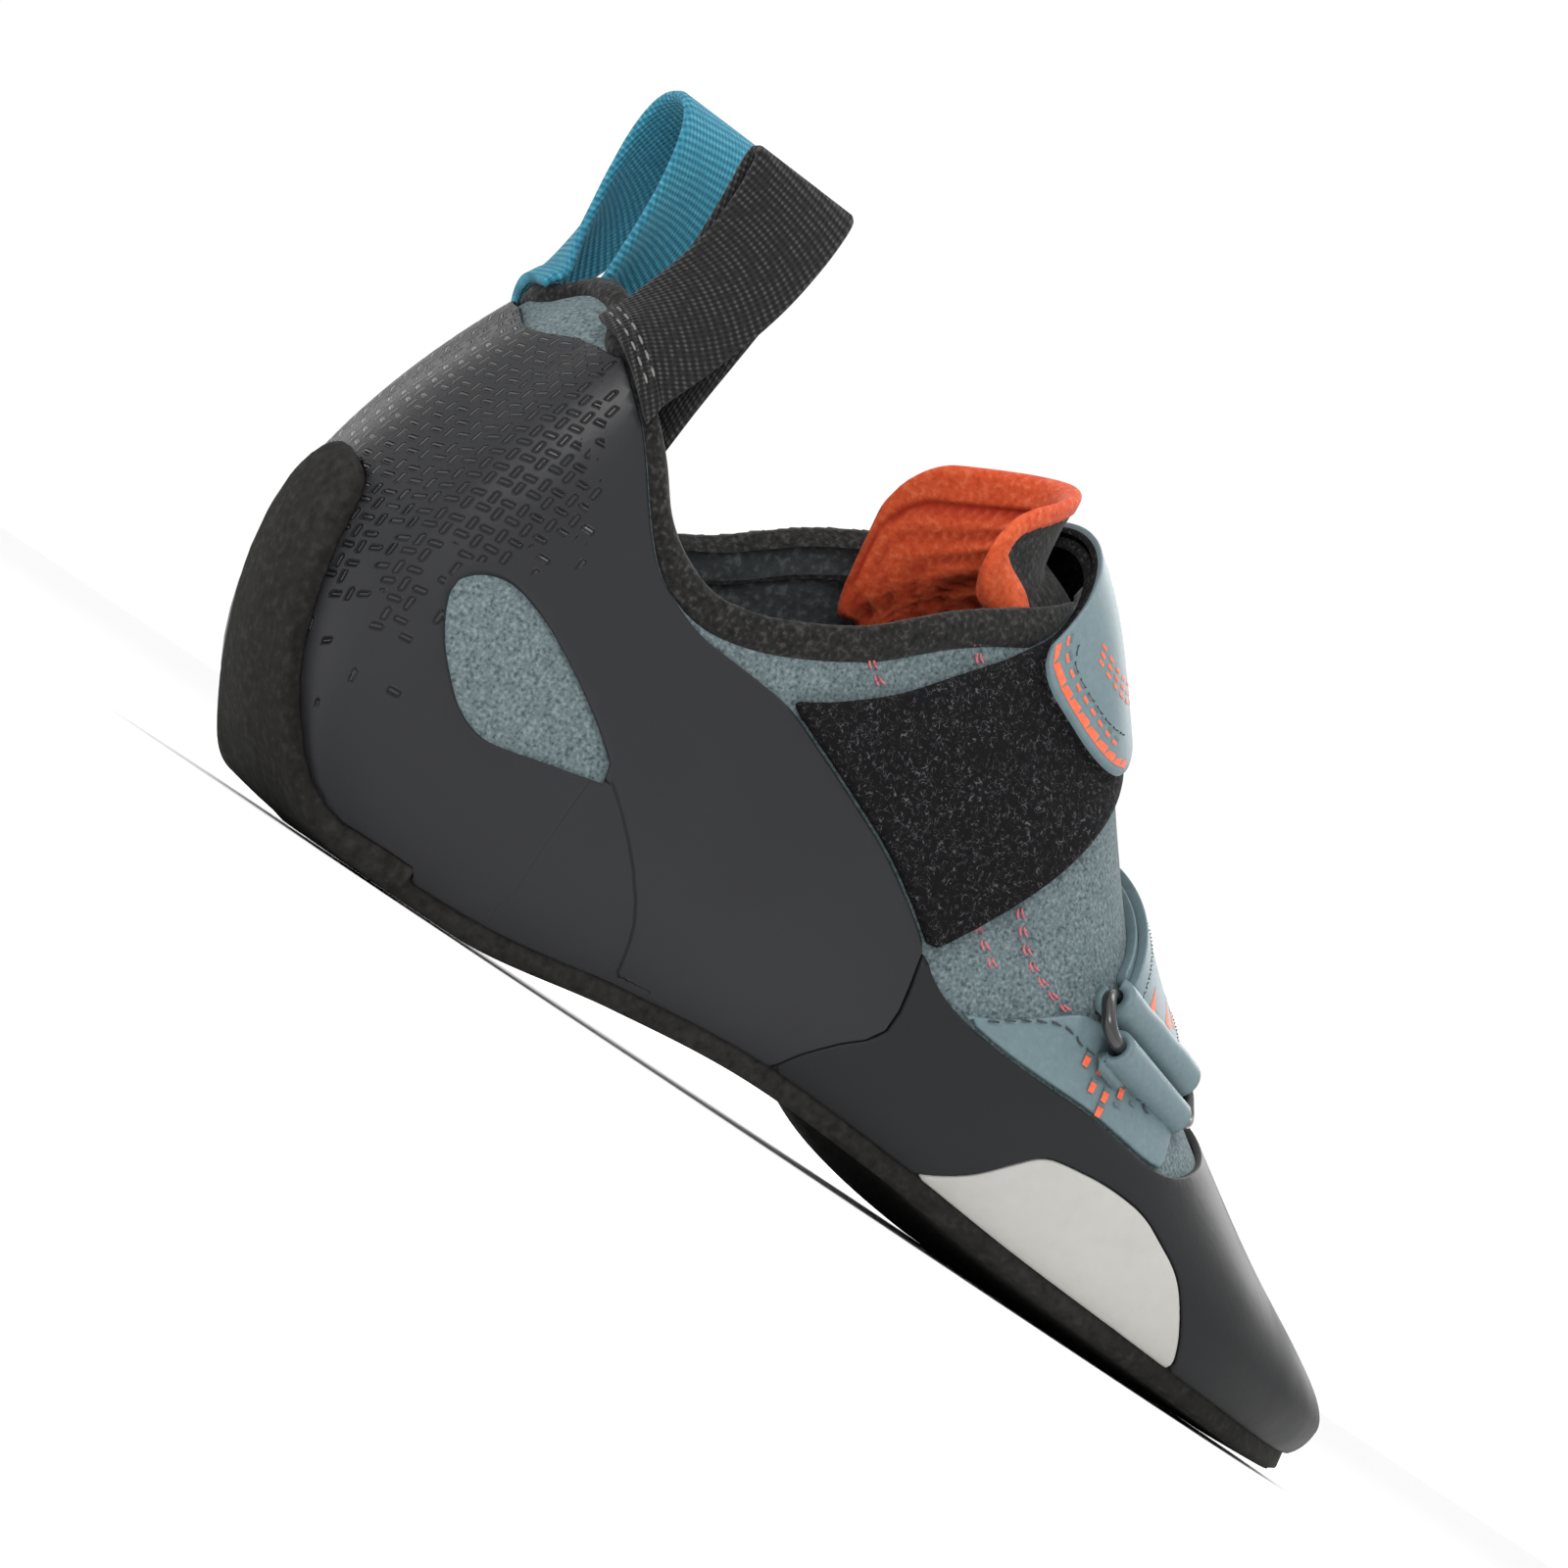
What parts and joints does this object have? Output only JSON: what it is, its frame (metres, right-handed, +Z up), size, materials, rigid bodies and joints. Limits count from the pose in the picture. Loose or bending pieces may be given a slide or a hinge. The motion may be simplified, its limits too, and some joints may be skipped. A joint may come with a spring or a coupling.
{
  "type": "rock climbing shoe",
  "caption": "Right-foot rock climbing shoe with a full rubber sole and rand, padded tongue, two crossing fold-back straps and twin heel pull loops.",
  "frame": {"origin": "on the floor plane at the middle of the heel's flat spot", "axes": "+X to the toe, +Y to the inner (medial) side, +Z up"},
  "size_m": [0.25, 0.0991, 0.1253],
  "materials": {
    "suede": "nubuck-like grey-blue microfibre, fine nap",
    "rand_rubber": "smooth satin black tension rubber",
    "outsole_rubber": "matte warm black climbing rubber, slightly dusty",
    "panel_rubber": "off-white rubber, satin",
    "trim_fabric": "black soft knit binding",
    "tongue_mesh": "orange three-dimensional mesh over foam",
    "insole_board": "grey lining board",
    "loop_pile": "black loop pile tape",
    "coated_strap": "smooth coated grey-blue microfibre with orange edge",
    "wire": "black painted steel wire",
    "webbing_black": "black ribbed webbing",
    "webbing_blue": "blue ribbed webbing"
  },
  "bodies": {
    "root": {"outsole": "outsole_rubber", "upper": "suede", "heel_rand": "rand_rubber", "toe_rand": "rand_rubber", "ball_panel": "panel_rubber", "collar_trim": "trim_fabric", "tongue": "tongue_mesh", "insole": "insole_board", "instep_strap": "loop_pile", "instep_flap": "coated_strap", "instep_ring": "wire", "instep_anchor": "coated_strap", "forefoot_anchor": "coated_strap", "forefoot_strap": "coated_strap", "forefoot_flap": "coated_strap", "forefoot_ring": "wire", "pull_loop_outer": "webbing_black", "pull_loop_inner": "webbing_blue"}
  },
  "joints": []
}
